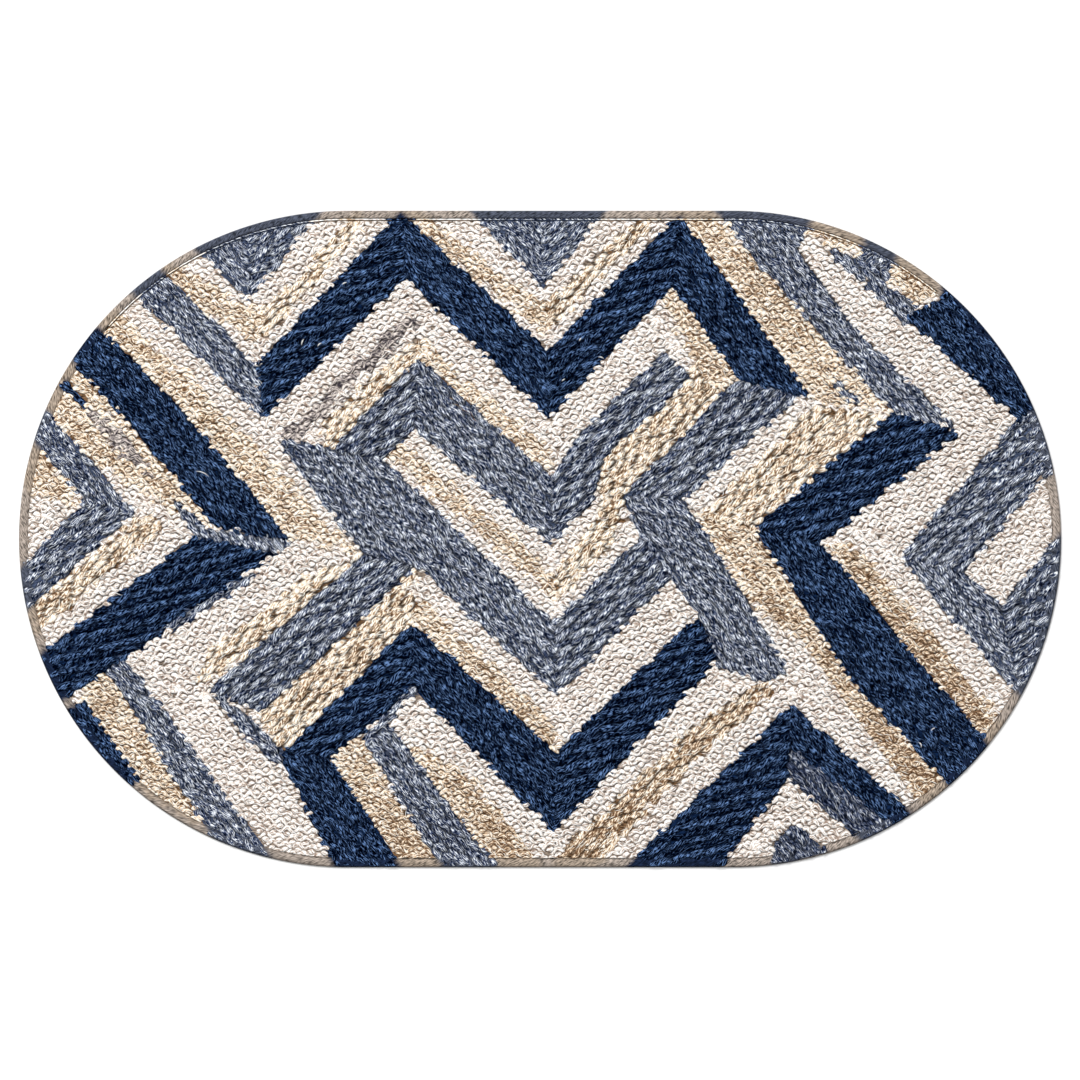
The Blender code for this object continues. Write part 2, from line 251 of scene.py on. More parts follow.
# Insets from the rug's outer edge, in mm.
FIELD_INSET = 7.2  # to the field's stitches
SEAM_CLEARANCE = 8.1  # to the field's stitches beside the seam
STITCH_INSET = 4.5  # to the middles of the outermost stitches, before they are pressed in
COVER_INSET = 1.2  # to the plaited strands, which cover the braid where no seam shows
COVER_START = FIELD_INSET + 0.5  # to where those strands start to rise
COVER_RISE = 0.2  # mm that they rise for each mm further out
SEAM_FEET = {True: 190, False: 160}  # the seam shows above this height, at the right and at the left


def seam_shows(x, y):
    """Whether the seam is left bare here; elsewhere the yarn beside it covers it."""
    return y > np.where(x > 0, SEAM_FEET[True], SEAM_FEET[False])


def yarn_inset(yarn):
    """How far in from the rug's edge this yarn ends, where no seam shows."""
    return COVER_INSET if yarn in ("denim", "navy") else FIELD_INSET


def depth_in(points):
    """How far each point of the plan lies inside the rug's outer edge."""
    x, y = points.T
    return RADIUS - np.hypot(np.maximum(np.abs(x) - REACH, 0), y)


def oval(inset, count):
    """Points along the rug's outline moved in by inset, anticlockwise from the foot of its right end."""
    radius = RADIUS - inset
    round_length = math.pi * radius
    half = round_length + 2 * REACH
    at = np.arange(count) / count * 2 * half
    side = np.where(at < half, 1, -1)
    at = np.where(at < half, at, at - half)
    angle = np.minimum(at, round_length) / radius - math.pi / 2
    x = REACH + radius * np.cos(angle) - np.maximum(at - round_length, 0)
    y = radius * np.sin(angle)
    return np.stack((side * x, side * y), 1)


def pressed_in(points, limit):
    """The points of the plan, those nearer the outer edge than limit moved straight in from it."""
    x, y = points[..., 0], points[..., 1]
    if limit:
        limit = np.where(seam_shows(x, y), SEAM_CLEARANCE, limit)
    spoke_x = np.sign(x) * np.maximum(np.abs(x) - REACH, 0)
    reach = np.maximum(np.hypot(spoke_x, y), 0.001)
    shrink = np.minimum((RADIUS - limit) / reach, 1)
    return np.stack((x - spoke_x * (1 - shrink), y * shrink), -1)


# ---------------------------------------------------------------- meshes of many lobes of yarn
def directions(degrees):
    """Unit vectors of the plan along each angle and square to it."""
    angle = np.radians(degrees)
    along = np.stack((np.cos(angle), np.sin(angle)), -1)
    return along, np.stack((-along[..., 1], along[..., 0]), -1)


def surface_of(node):
    """A function that gives the height of the node's top face at each point of the plan, in mm."""
    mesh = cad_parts[node].data
    tree = BVHTree.FromPolygons([v.co for v in mesh.vertices], [p.vertices for p in mesh.polygons])
    down = Vector((0, 0, -1))

    def height(points):
        found = []
        for x, y in points * MM:
            place, _, _, _ = tree.ray_cast(Vector((x, y, 1)), down)
            found.append(place.z / MM if place else 0.0)
        return np.array(found)

    return height


def yarn_height(points):
    """The height of the yarn laid at each point: the field's top, and a little higher out over the braid."""
    out = (COVER_START - depth_in(points)).clip(0, COVER_START)
    return field_height(pressed_in(points, COVER_START)) + COVER_RISE * out


def fill(items, key, values, kind=np.float32):
    """Sets one property of all these parts of a mesh."""
    items.foreach_set(key, np.asarray(values).astype(kind).ravel())


def new_mesh(name, points, face_sizes, corners, material):
    """An object from points in mm and faces given as one run of corners, smooth all over."""
    mesh = bpy.data.meshes.new(name)
    mesh.vertices.add(len(points))
    fill(mesh.vertices, "co", points * MM)
    mesh.loops.add(len(corners))
    fill(mesh.loops, "vertex_index", corners, np.int32)
    mesh.polygons.add(len(face_sizes))
    starts = np.concatenate(([0], np.cumsum(face_sizes)[:-1]))
    fill(mesh.polygons, "loop_start", starts, np.int32)
    mesh.update(calc_edges=True)
    mesh.shade_smooth()
    mesh.materials.append(material)
    made = bpy.data.objects.new(name, mesh)
    bpy.context.collection.objects.link(made)
    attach(made, "root")
    return made


def add_map(made, name, corners):
    """A UV map from the place of each corner."""
    fill(made.data.uv_layers.new(name=name).uv, "vector", corners)


def add_marks(made, name, colours, domain="POINT"):
    """A colour attribute from the colour of each point or corner."""
    layer = made.data.color_attributes.new(name=name, type="FLOAT_COLOR", domain=domain)
    fill(layer.data, "color", colours)


def slanted(u, v, slant):
    """Places on the fibre map, from mm along the yarn and round it, turned by the slant of its fibres."""
    slant = np.radians(slant)
    return np.stack((u * np.cos(slant) + v * np.sin(slant), v * np.cos(slant) - u * np.sin(slant)), -1)


# Lobes are short lengths of yarn with one layout of rings: middle (lobe, ring, xyz), half_width and
# half_height (lobe, ring), and for each lobe its tone, mostly from 0 to 1, and the slant of its fibres in
# degrees. Round is the number of points in each ring, lit how much lighter painted light makes the tone on a
# lobe's left side than on its right, and shade how fast painted shade darkens it down its sides.
Lobes = namedtuple("Lobes", "middle half_width half_height tone slant round lit shade", defaults=(0, 1))
LOWEST_ANGLE = -28  # degrees below the level where a ring's arch over the yarn starts; a flat face closes it
LOWEST_POINT = 0.4
DARK_DEPTH = 3.2  # mm below its crest at which a lobe's painted shade is as dark as it gets
LOW_SIDE_SHADE = 0.25  # how much darker painted shade makes a lobe's right side, for each unit of lit
CELL_MARGIN = 0.06  # of a lobe's place on the baking map
CAP_BULGE = 0.8  # of that margin, taken up by the flat face at each end
FIBRE_SPREAD = 500  # mm between the starts of the fibre pattern on different lobes


def rings_of(lobes, limit):
    """The points of every ring, and how far along its lobe each ring lies."""
    run = np.gradient(lobes.middle[:, :, :2], axis=1)
    run /= np.maximum(np.linalg.norm(run, axis=2, keepdims=True), 1e-6)
    side = np.stack((-run[..., 1], run[..., 0]), axis=2)
    arch = np.radians(np.linspace(180 - LOWEST_ANGLE, LOWEST_ANGLE, lobes.round))
    reach = lobes.half_width[:, :, None] * np.cos(arch)
    points = np.empty((*reach.shape, 3))
    points[..., :2] = lobes.middle[:, :, None, :2] - side[:, :, None] * reach[..., None]
    points[..., :2] = pressed_in(points[..., :2], limit)
    points[..., 2] = lobes.middle[:, :, None, 2] + lobes.half_height[:, :, None] * np.sin(arch)
    points[..., 2] = np.maximum(points[..., 2], LOWEST_POINT)
    steps = np.linalg.norm(np.diff(lobes.middle, axis=1), axis=2)
    along = np.concatenate((np.zeros((len(steps), 1)), np.cumsum(steps, axis=1)), axis=1)
    return points, along


def lobe_faces(rings, around):
    """One lobe's face sizes and, for each corner, its ring, its place round it and how far it bulges out."""
    ring, turn = np.meshgrid(np.arange(rings - 1), np.arange(around), indexing="ij")
    quad_rings = np.stack((ring, ring, ring + 1, ring + 1), -1).ravel()
    quad_turns = np.stack((turn, turn + 1, turn + 1, turn), -1).ravel()
    cap = np.arange(around)
    corner_ring = np.concatenate((quad_rings, np.full(around, 0), np.full(around, rings - 1)))
    corner_turn = np.concatenate((quad_turns, cap[::-1], cap))
    bulge = np.sin(math.pi * cap / around)
    corner_bulge = np.concatenate((np.zeros(len(quad_rings)), -bulge[::-1], bulge))
    sizes = np.concatenate((np.full((rings - 1) * around, 4), (around, around)))
    return sizes, corner_ring, corner_turn, corner_bulge


def lobes_object(name, groups, material, seed, limit):
    """One piece made of groups of lobes, each lobe closed, none nearer the rug's edge than limit."""
    rng = np.random.default_rng(seed)
    cells_across = math.ceil(math.sqrt(sum(len(group.middle) for group in groups)))
    points, sizes, corners, fibres, atlas, marks = [], [], [], [], [], []
    used_points = used_cells = 0
    for group in groups:
        count, rings = group.middle.shape[:2]
        around = group.round
        ring_points, along = rings_of(group, limit)
        one_sizes, ring, turn, bulge = lobe_faces(rings, around)
        one = ring * around + turn % around
        points.append(ring_points.reshape(-1, 3))
        sizes.append(np.tile(one_sizes, count))
        corners.append((one + used_points + np.arange(count)[:, None] * rings * around).ravel())

        u = along[:, ring]
        v = turn / around * 4 * group.half_width.max(1)[:, None]
        start = rng.uniform(0, FIBRE_SPREAD, (2, count, 1)).transpose(1, 2, 0)
        fibres.append((slanted(u, v, group.slant[:, None]) + start).reshape(-1, 2))
        cell = used_cells + np.arange(count)[:, None]
        scale = 1 - 2 * CELL_MARGIN
        across = cell % cells_across + CELL_MARGIN * (1 + CAP_BULGE * bulge) + scale * ring / (rings - 1)
        up = cell // cells_across + CELL_MARGIN + scale * turn / around
        atlas.append((np.stack((across, up), -1) / cells_across).reshape(-1, 2))
        # red: the lobe's tone, lighter on its left side by painted light; green: painted shade, from how far
        # the point lies below the lobe's crest, and more on the lobe's right side
        crest = (group.middle[..., 2] + group.half_height).max(1)
        mark = np.ones((*ring_points.shape[:3], 4))
        mark[..., 0] = group.tone[:, None, None] + group.lit * np.linspace(0.5, -0.5, around)
        sunk = group.shade * (crest[:, None, None] - ring_points[..., 2]) / DARK_DEPTH
        mark[..., 1] = (sunk + LOW_SIDE_SHADE * group.lit * np.linspace(-1, 1, around)).clip(0, 1)
        marks.append(mark.reshape(-1, 4))
        used_points += count * rings * around
        used_cells += count

    whole = (np.concatenate(each) for each in (points, sizes, corners))
    made = new_mesh(name, *whole, material)
    add_map(made, "fibre", np.concatenate(fibres))
    add_map(made, "OFBake", np.concatenate(atlas))
    add_marks(made, "yarn", np.concatenate(marks))
    return made


def lattice(angle, pitch, row_pitch, stagger, rng, jitter):
    """Places over the whole rug in rows at this angle, each shifted by stagger from the last or by chance."""
    a, b = directions(angle)
    reach = LENGTH / 2 + pitch
    rows = np.arange(-int(reach / row_pitch), int(reach / row_pitch) + 1)
    steps = np.arange(-int(reach / pitch) - 1, int(reach / pitch) + 2)
    row, step = np.meshgrid(rows, steps, indexing="ij")
    shift = row * stagger % 1 if stagger else rng.uniform(0, 1, (len(rows), 1))
    u = (step + shift) * pitch + rng.uniform(-jitter, jitter, row.shape)
    v = row * row_pitch + rng.uniform(-jitter, jitter, row.shape)
    return (u[..., None] * a + v[..., None] * b).reshape(-1, 2)


def laid(places, angle, x, y):
    """Points of the plan given by each place, the angle it is turned to, and x and y measured from it."""
    a, b = directions(angle)
    return places[:, None] + x[..., None] * a[:, None] + y[..., None] * b[:, None]


def surrounded(places, yarn, reach):
    """The share of the points round each place that have the same yarn, from 0 to 1."""
    same = np.zeros(len(places))
    around = np.arange(0, 360, 45)
    for angle in around:
        found, _ = chart(places + reach * directions(angle)[0])
        same += found == YARN_NAMES.index(yarn)
    return same / len(around)


def belongs(places, yarn, rises, slack):
    """Which places have this yarn, running this way, on them or within slack of them."""
    kept = np.zeros(len(places), bool)
    for step in ((0, 0), (slack, 0), (-slack, 0), (0, slack), (0, -slack)):
        found, rising = chart(places + step)
        kept |= (found == YARN_NAMES.index(yarn)) & (rising == rises)
    return kept


STRAND_SAMPLES = 41


def longest_run(good, length):
    """For each row of samples along a strand of this length, the ends of its longest good stretch."""
    best_start = np.zeros(len(good), int)
    best_count = np.zeros(len(good), int)
    current = np.zeros(len(good), int)
    for step in range(good.shape[1]):
        current = np.where(good[:, step], current + 1, 0)
        longer = current > best_count
        best_count = np.where(longer, current, best_count)
        best_start = np.where(longer, step - current + 1, best_start)
    step_length = length / (good.shape[1] - 1)
    start = best_start * step_length - length / 2
    return start, start + np.maximum(best_count - 1, 0) * step_length


def strand_samples(places, angle, length):
    """Points along each straight strand that lies over its place at this angle, all in one list."""
    reach = length[:, None] * np.linspace(-0.5, 0.5, STRAND_SAMPLES)
    return laid(places, angle, reach, np.zeros((1, 1))).reshape(-1, 2)


# ---------------------------------------------------------------- knitted stitches
# Each row is one yarn that waves up and down, half a wave on from the row below, and in each bow of it sits a
# bead, the head of another loop. Sizes in mm and angles in degrees.
STITCH_PITCH = 10.3
ROW_PITCH = 5.9
ROW_ANGLE = {True: 13, False: -6}  # where the strip rises and where it falls
ROW_STAGGER = 0.5  # of a pitch, from one row to the next
STITCH_JITTER = 0.35
STITCH_TURN = 12  # degrees for each unit of a stitch's lean
STITCH_SLACK = 1.2
WAVE_RISE = 1.6
WAVE_HALF_WIDTH = 1.95
WAVE_HALF_HEIGHT = 1.9
WAVE_DIP = 0.9
WAVE_OVERLAP = 0.06  # of a pitch, at each end of a stitch's own piece of the wave
WAVE_RINGS = 8
WAVE_LEAST = 0.2  # of a pitch that a stitch keeps to either side where it is cut short by a plaited strip
BEAD_BELOW = 3.25
BEAD_HALF_LENGTH = 2.9
BEAD_HALF_WIDTH = 2.15
BEAD_HALF_HEIGHT = 1.9
BEAD_TURN = 60
BEAD_BOW = 0.4
BEAD_DROP = 0.2
BEAD_DIP = 0.5
BEAD_RINGS = 5
STITCH_ROUND = 6
KNIT_SHADE = 1.35  # how fast painted shade darkens a stitch down its sides
# How far stitches differ to either side: in the share of their thickness, lean, height and the fibres' slant.
FATNESS = 0.08
LEAN = 0.35
LIFT = 0.35
FIBRE_SWING = 25


def knitted(yarn, rises, seed):
    """Stitches of one yarn, where it runs this way."""
    rng = np.random.default_rng(seed)
    row_angle = ROW_ANGLE[rises]
    places = lattice(row_angle, STITCH_PITCH, ROW_PITCH, ROW_STAGGER, rng, STITCH_JITTER)
    places = places[depth_in(places) > STITCH_INSET]
    down = -BEAD_BELOW * directions(row_angle)[1]
    bows = places[belongs(places, yarn, rises, STITCH_SLACK)]
    heads = (places + down)[belongs(places + down, yarn, rises, STITCH_SLACK)]
    if not len(bows) or not len(heads):
        return []

    pitches = np.full(len(bows), STITCH_PITCH)
    found, _ = chart(strand_samples(bows, np.full(len(bows), row_angle), pitches))
    low, high = longest_run(np.isin(found, KNITTED).reshape(len(bows), -1), pitches)
    low = np.minimum(low / STITCH_PITCH, -WAVE_LEAST)[:, None] - WAVE_OVERLAP
    high = np.maximum(high / STITCH_PITCH, WAVE_LEAST)[:, None] + WAVE_OVERLAP
    t = low + (high - low) * np.linspace(0, 1, WAVE_RINGS)
    fat, lean, lift, slant = knit_chances(rng, len(bows))
    wave = np.cos(2 * math.pi * t)
    middle = np.empty((len(bows), WAVE_RINGS, 3))
    x = t * STITCH_PITCH + lean * wave
    y = WAVE_RISE * wave * (1 + lean)
    middle[..., :2] = laid(bows, row_angle + STITCH_TURN * lean[:, 0], x, y)
    half_height = WAVE_HALF_HEIGHT * fat * np.ones_like(t)
    middle[..., 2] = yarn_height(bows)[:, None] + lift - half_height - WAVE_DIP * (1 - wave) / 2
    half_width = WAVE_HALF_WIDTH * fat * (0.9 + 0.1 * wave)
    tone = strip_tone(bows, yarn, rng)
    waves = Lobes(middle, half_width, half_height, tone, slant, STITCH_ROUND, 0, KNIT_SHADE)

    t = np.linspace(-1, 1, BEAD_RINGS)[None]
    fat, lean, lift, slant = knit_chances(rng, len(heads))
    ease = np.sqrt(np.maximum(1 - t**2, 0.05))
    middle = np.empty((len(heads), BEAD_RINGS, 3))
    angle = row_angle + BEAD_TURN * lean[:, 0]
    middle[..., :2] = laid(heads, angle, BEAD_HALF_LENGTH * t * fat, -BEAD_BOW * t**2)
    half_height = BEAD_HALF_HEIGHT * (0.5 + 0.5 * ease) * fat
    middle[..., 2] = yarn_height(heads)[:, None] + lift - BEAD_DROP - half_height - BEAD_DIP * (1 - ease)
    half_width = BEAD_HALF_WIDTH * ease * fat
    tone = strip_tone(heads, yarn, rng)
    beads = Lobes(middle, half_width, half_height, tone, slant, STITCH_ROUND, 0, KNIT_SHADE)
    return [waves, beads]


def knit_chances(rng, count):
    """What differs from stitch to stitch: its thickness, lean and height, and the slant of its fibres."""
    fat = rng.uniform(1 - FATNESS, 1 + FATNESS, (count, 1))
    lean = rng.uniform(-LEAN, LEAN, (count, 1))
    lift = rng.uniform(-LIFT, LIFT, (count, 1))
    return fat, lean, lift, rng.uniform(-FIBRE_SWING, FIBRE_SWING, count)


TAN_EDGE_TONE = 0.6  # what tan gains in tone along a strip's edges
TAN_MIDDLE_TONE = 0.75  # what it loses along the middle
TAN_CORNER_TONE = 0.55  # what it loses toward the rug's lower right
TAN_EDGE_REACH = 6  # mm within which a strip's edge counts as near
TAN_TONES = (-0.6, 1.2)
DARK_DENIM = (218, -205)  # the place where denim is dyed darker
DARK_DENIM_REACH = 38
DARK_DENIM_TONE = 1.2


def strip_tone(places, yarn, rng):
    """Each stitch's tone. Tan is browner along the middle of its strips and toward the rug's lower right, and
    denim is dyed darker inside the lower right peak.
    """
    tone = rng.uniform(0, 1, len(places))
    x, y = places.T
    if yarn == "tan":
        corner = ((x / 400 - y / 250 - 0.3) / 0.8).clip(0, 1)
        inside = surrounded(places, yarn, TAN_EDGE_REACH)
        tone += TAN_EDGE_TONE - TAN_MIDDLE_TONE * inside - TAN_CORNER_TONE * corner
        tone = tone.clip(*TAN_TONES)
    if yarn == "denim":
        away = np.hypot(x - DARK_DENIM[0], y - DARK_DENIM[1]) / DARK_DENIM_REACH
        tone -= DARK_DENIM_TONE * (2 - away).clip(0, 1)
    return tone


# ---------------------------------------------------------------- plaited strands
# Where a plaited strip rises, its strands lie in rows, long and nearly level, like ropes, and every other row
# stands up as a rib; where it falls, they show as short tufts along the strip. Sizes in mm and angles in
# degrees. Swing and jitter are how far strands turn and move to either side, and lift how far their heights
# differ. Puff and rib are how high soft lumps and ribs stand; slant, lit and shade are as for lobes.
Plait = namedtuple(
    "Plait",
    "row_angle angle swing length pitch row_pitch jitter half_width half_height bow rings"
    " lift puff rib slant lit shade",
)
ROPES = Plait(
    row_angle=14, angle=26, swing=10, length=21, pitch=14.5, row_pitch=5.5, jitter=0.6,
    half_width=3.5, half_height=3.6, bow=0.9, rings=8,
    lift=0.35, puff=0.0, rib=0.5, slant=-20, lit=2.2, shade=2.0,
)
TUFTS = Plait(
    row_angle=-55, angle=-55, swing=15, length=15, pitch=10.0, row_pitch=5.2, jitter=1.1,
    half_width=2.95, half_height=2.9, bow=0.8, rings=7,
    lift=0.5, puff=0.55, rib=0.0, slant=3, lit=0.0, shade=1.8,
)
PLAITS = {
    ("navy", True): ROPES._replace(angle=15, swing=15),
    ("navy", False): TUFTS,
    ("denim", True): ROPES,
    ("denim", False): TUFTS,
    ("tan", True): TUFTS._replace(
        row_angle=14, angle=24, swing=11, length=13.5, pitch=9.3, puff=0.0, slant=-20, lit=0.5
    ),
}
PUFF_PITCH = 11  # from one soft lump of tufts to the next
PUFF_ANGLE = -8
PUFF_LEVEL = 0.3  # of a lump's height that is the strip's own level
PUFF_LIGHT = 1.6  # painted light and shade: how much paler a lump is for each mm that it stands up
RIB_LEVEL = 0.6
# painted light and shade: how much paler a rib is for each mm that it stands up
RIB_LIGHT = 1.5
STRAND_DIP = 6  # how steeply a strand's ends go down under its neighbours
STRAND_ROUND = 7
SHORTEST_STRAND = 2.4
STRAND_OVERLAP = 1.2  # of a strand's tip over the edge of its strip


def plaited(yarn, rises, seed):
    """Overlapping strands of one yarn where it runs this way, each cut to the strip's edges."""
    plait = PLAITS[yarn, rises]
    rng = np.random.default_rng(seed)
    places = lattice(plait.row_angle, plait.pitch, plait.row_pitch, 0, rng, plait.jitter)
    places = places[depth_in(places) > -plait.length / 2]
    angle = plait.angle + rng.uniform(-plait.swing, plait.swing, len(places))
    length = plait.length * rng.uniform(0.8, 1.2, len(places))
    samples = strand_samples(places, angle, length)
    found, rising = chart(samples)
    good = (found == YARN_NAMES.index(yarn)) & (rising == rises)
    edge = np.where(seam_shows(*samples.T), STITCH_INSET, min(STITCH_INSET, yarn_inset(yarn)))
    good &= depth_in(samples) > edge
    low, high = longest_run(good.reshape(len(places), -1), length)
    kept = high - low > SHORTEST_STRAND
    low, high = low - STRAND_OVERLAP, high + STRAND_OVERLAP
    places, angle, length, low, high = (each[kept] for each in (places, angle, length, low, high))
    count = len(places)

    def spread(amount):
        return rng.uniform(-amount, amount, count)[:, None]

    lumps = [np.cos(2 * math.pi / PUFF_PITCH * (places @ way)) for way in directions(PUFF_ANGLE)]
    puff = plait.puff * (sum(lumps) / 2 - PUFF_LEVEL)
    rows = np.cos(math.pi / plait.row_pitch * (places @ directions(plait.row_angle)[1]))
    rib = plait.rib * (rows - RIB_LEVEL)
    t = np.linspace(-1, 1, plait.rings)[None]
    x = (low + high)[:, None] / 2 + (high - low)[:, None] / 2 * t
    share = x / length[:, None]
    y = plait.bow * (1 + spread(0.3)) * np.sin(2 * math.pi * share) + plait.bow * spread(0.6) * share**2 * 4
    ease = np.sqrt(np.maximum(1 - t**4, 0.04))
    fat = 1 + spread(0.1)
    middle = np.empty((count, plait.rings, 3))
    middle[..., :2] = laid(places, angle, x, y)
    half_height = plait.half_height * (0.4 + 0.6 * ease) * np.ones((count, 1))
    centre = middle[:, plait.rings // 2, :2]
    top = yarn_height(centre) + puff + rib
    middle[..., 2] = top[:, None] + spread(plait.lift) - half_height - (1 - ease) - STRAND_DIP * share**2
    half_width = plait.half_width * fat * (0.25 + 0.75 * ease)
    slant = plait.slant + rng.uniform(-9, 9, count)
    # the raised lumps and ribs get painted light, and the low places between them painted shade
    tone = strip_tone(centre, yarn, rng) + PUFF_LIGHT * puff + RIB_LIGHT * rib
    return [Lobes(middle, half_width, half_height, tone, slant, STRAND_ROUND, plait.lit, plait.shade)]


# ---------------------------------------------------------------- wisps
# Fine fibres that have worked loose lie over the yarn they come from. Sizes in mm and angles in degrees.
Wisps = namedtuple("Wisps", "apart angles swing paler")
WISPS = {
    "cream": Wisps(9.5, {True: 20, False: -20}, 50, 0.5),
    "tan": Wisps(5.4, {True: 28, False: -35}, 40, 0.55),
    "ash": Wisps(5.0, {True: 40, False: -40}, 30, 0.6),
    "denim": Wisps(5.8, {True: 32, False: -55}, 22, 0.7),
    "navy": Wisps(6.8, {True: 30, False: -55}, 22, 0.8),
}
WISP_LENGTH = (3.5, 8.5)
WISP_HALF_WIDTH = 0.38
WISP_BOW = 0.9
WISP_RINGS = 4
WISP_ROUND = 3
PALE_WISP, DARK_WISP = 2.6, -1.2


def loose_wisps(yarn, rises, seed):
    """Loose fibres strewn over one yarn where it runs this way, some paler and some darker than it."""
    look = WISPS[yarn]
    rng = np.random.default_rng(seed)
    places = lattice(0, look.apart, look.apart, 0.5, rng, look.apart / 2)
    places = places[depth_in(places) > BINDING_WIDTH + 2]
    found, rising = chart(places)
    places = places[(found == YARN_NAMES.index(yarn)) & (rising == rises)]
    count = len(places)
    angle = look.angles[rises] + rng.normal(0, look.swing / 2, count)
    tone = np.where(rng.uniform(0, 1, count) < look.paler, PALE_WISP, DARK_WISP)
    return wisps(places, angle, rng.uniform(*WISP_LENGTH, count), tone, rng)


def wisps(places, angle, length, tone, rng, bow=None, half_width=WISP_HALF_WIDTH):
    """Fine fibres lying on the surface, a little bent."""
    count = len(places)
    t = np.linspace(-1, 1, WISP_RINGS)[None]
    x = length[:, None] / 2 * t
    if bow is None:
        bow = rng.uniform(-WISP_BOW, WISP_BOW, count)
    y = bow[:, None] * (1 - t**2)
    middle = np.empty((count, WISP_RINGS, 3))
    middle[..., :2] = laid(places, angle, x, y)
    middle[..., 2] = yarn_height(places)[:, None] + rng.uniform(-0.3, 0.3, (count, 1)) - 0.5 * t**2
    half = half_width * np.sqrt(1.05 - t**2) * rng.uniform(0.7, 1.1, (count, 1))
    return Lobes(middle, half, half, tone, np.zeros(count), WISP_ROUND)


# Pale hairs caught in the plaited yarns: x, y, angle, length and how far each is bowed.
HAIRS = (
    (-259, 50, -22, 11, 1.2),
    (-204, -2, 15, 4, 0.3),
    (-182, 151, 70, 5, 0.5),
    (-150, 196, 25, 4, 0.4),
    (-169, 149, 40, 4, 0.6),
    (46, 139, -12, 6, 0.8),
    (18, 122, 35, 3, 0.2),
    (31, 153, 55, 3, 0.3),
    (302, -146, 30, 5, 0.8),
    (282, -156, 10, 6, 1.6),
    (291, -158, -60, 5, 1.4),
)
# Dark splits between the stitches of the tan strips, painted shade drawn as dark wisps, each from its upper
# end to its lower one.
SPLITS = (
    ((-77, 226), (-23, 182)),
    ((-92, 57), (-61, 34)),
    ((-31, 3), (0, -28)),
    ((-65, -78), (-27, -110)),
    ((211, 136), (223, 128)),
    ((-70, 108), (-48, 90)),
    ((-255, 190), (-238, 172)),
    ((160, 196), (176, 172)),
)
SPLIT_STEP = 4.5
SPLIT_LENGTH = (4, 8)  # of each of its wisps
HAIR_HALF_WIDTH = 0.6  # thicker than a wisp, so that each hair shows


def hairs(rng):
    """The pale hairs."""
    x, y, angle, length, bow = np.array(HAIRS, float).T
    return wisps(np.stack((x, y), 1), angle, length, np.full(len(x), PALE_WISP), rng, bow, HAIR_HALF_WIDTH)


def splits(rng):
    """The dark splits, each a broken line of short wisps as painted shade."""
    places, angles = [], []
    for (ax, ay), (bx, by) in SPLITS:
        count = round(math.hypot(bx - ax, by - ay) / SPLIT_STEP)
        share = (np.arange(count) + 0.5)[:, None] / count
        line = np.array((ax, ay)) * (1 - share) + np.array((bx, by)) * share
        places.append(line + rng.normal(0, 0.5, line.shape))
        angles.append(np.full(count, math.degrees(math.atan2(by - ay, bx - ax))) + rng.normal(0, 14, count))
    places, angles = np.concatenate(places), np.concatenate(angles)
    count = len(places)
    return wisps(places, angles, rng.uniform(*SPLIT_LENGTH, count), np.full(count, DARK_WISP), rng)


# ---------------------------------------------------------------- materials
def linear(colour):
    """An sRGB hex colour as linear RGBA."""
    parts = [int(colour[i:i + 2], 16) / 255 for i in (1, 3, 5)]
    return (*(c / 12.92 if c <= 0.04045 else ((c + 0.055) / 1.055) ** 2.4 for c in parts), 1)


def add(tree, kind, settings=(), links=()):
    """A node with its settings (a property, or an input by name or number) and its incoming links."""
    node = tree.nodes.new(kind)
    for name, value in dict(settings).items():
        if isinstance(name, str) and hasattr(node, name):
            setattr(node, name, value)
        else:
            node.inputs[name].default_value = value
    for name, socket in dict(links).items():
        tree.links.new(socket, node.inputs[name])
    return node


def cloth_material(name, sheen, roughness=0.92):
    """A matt material, its node tree and its shader."""
    material = bpy.data.materials.new(name)
    material.use_nodes = True
    shader = material.node_tree.nodes["Principled BSDF"]
    shader.inputs["Roughness"].default_value = roughness
    shader.inputs["Specular IOR Level"].default_value = 0.0
    shader.inputs["Sheen Weight"].default_value = sheen
    shader.inputs["Sheen Roughness"].default_value = 0.5
    return material, material.node_tree, shader


def ramp(tree, stops, factor):
    """A colour ramp from (position, hex colour) stops."""
    node = add(tree, "ShaderNodeValToRGB", links={"Fac": factor})
    elements = node.color_ramp.elements
    while len(elements) < len(stops):
        elements.new(0.5)
    for element, (position, colour) in zip(elements, stops):
        element.position = position
        element.color = linear(colour)
    return node.outputs["Color"]


def mix(tree, factor, socket, colour):
    """The colour from a socket, mixed with a linear colour."""
    node = add(tree, "ShaderNodeMix", {"data_type": "RGBA"}, {"Factor": factor})
    first, second = (s for s in node.inputs if s.type == "RGBA")
    tree.links.new(socket, first)
    second.default_value = colour
    return next(s for s in node.outputs if s.type == "RGBA")


def fibres(tree, length, width, lowest, highest):
    """Streaks from 0 to 1 along the yarn, from a map in mm: the noise, and the same with more contrast."""
    place = add(tree, "ShaderNodeUVMap", {"uv_map": "fibre"})
    stretched = add(
        tree, "ShaderNodeMapping", {"Scale": (1 / length, 1 / width, 1)}, {"Vector": place.outputs["UV"]}
    )
    grain = {"noise_dimensions": "2D", "Scale": 1.0, "Detail": 1.0, "Roughness": 0.5}
    noise = add(tree, "ShaderNodeTexNoise", grain, {"Vector": stretched.outputs["Vector"]})
    sharp = add(
        tree, "ShaderNodeMapRange", {"From Min": lowest, "From Max": highest}, {"Value": noise.outputs["Fac"]}
    )
    return noise.outputs["Fac"], sharp.outputs["Result"]
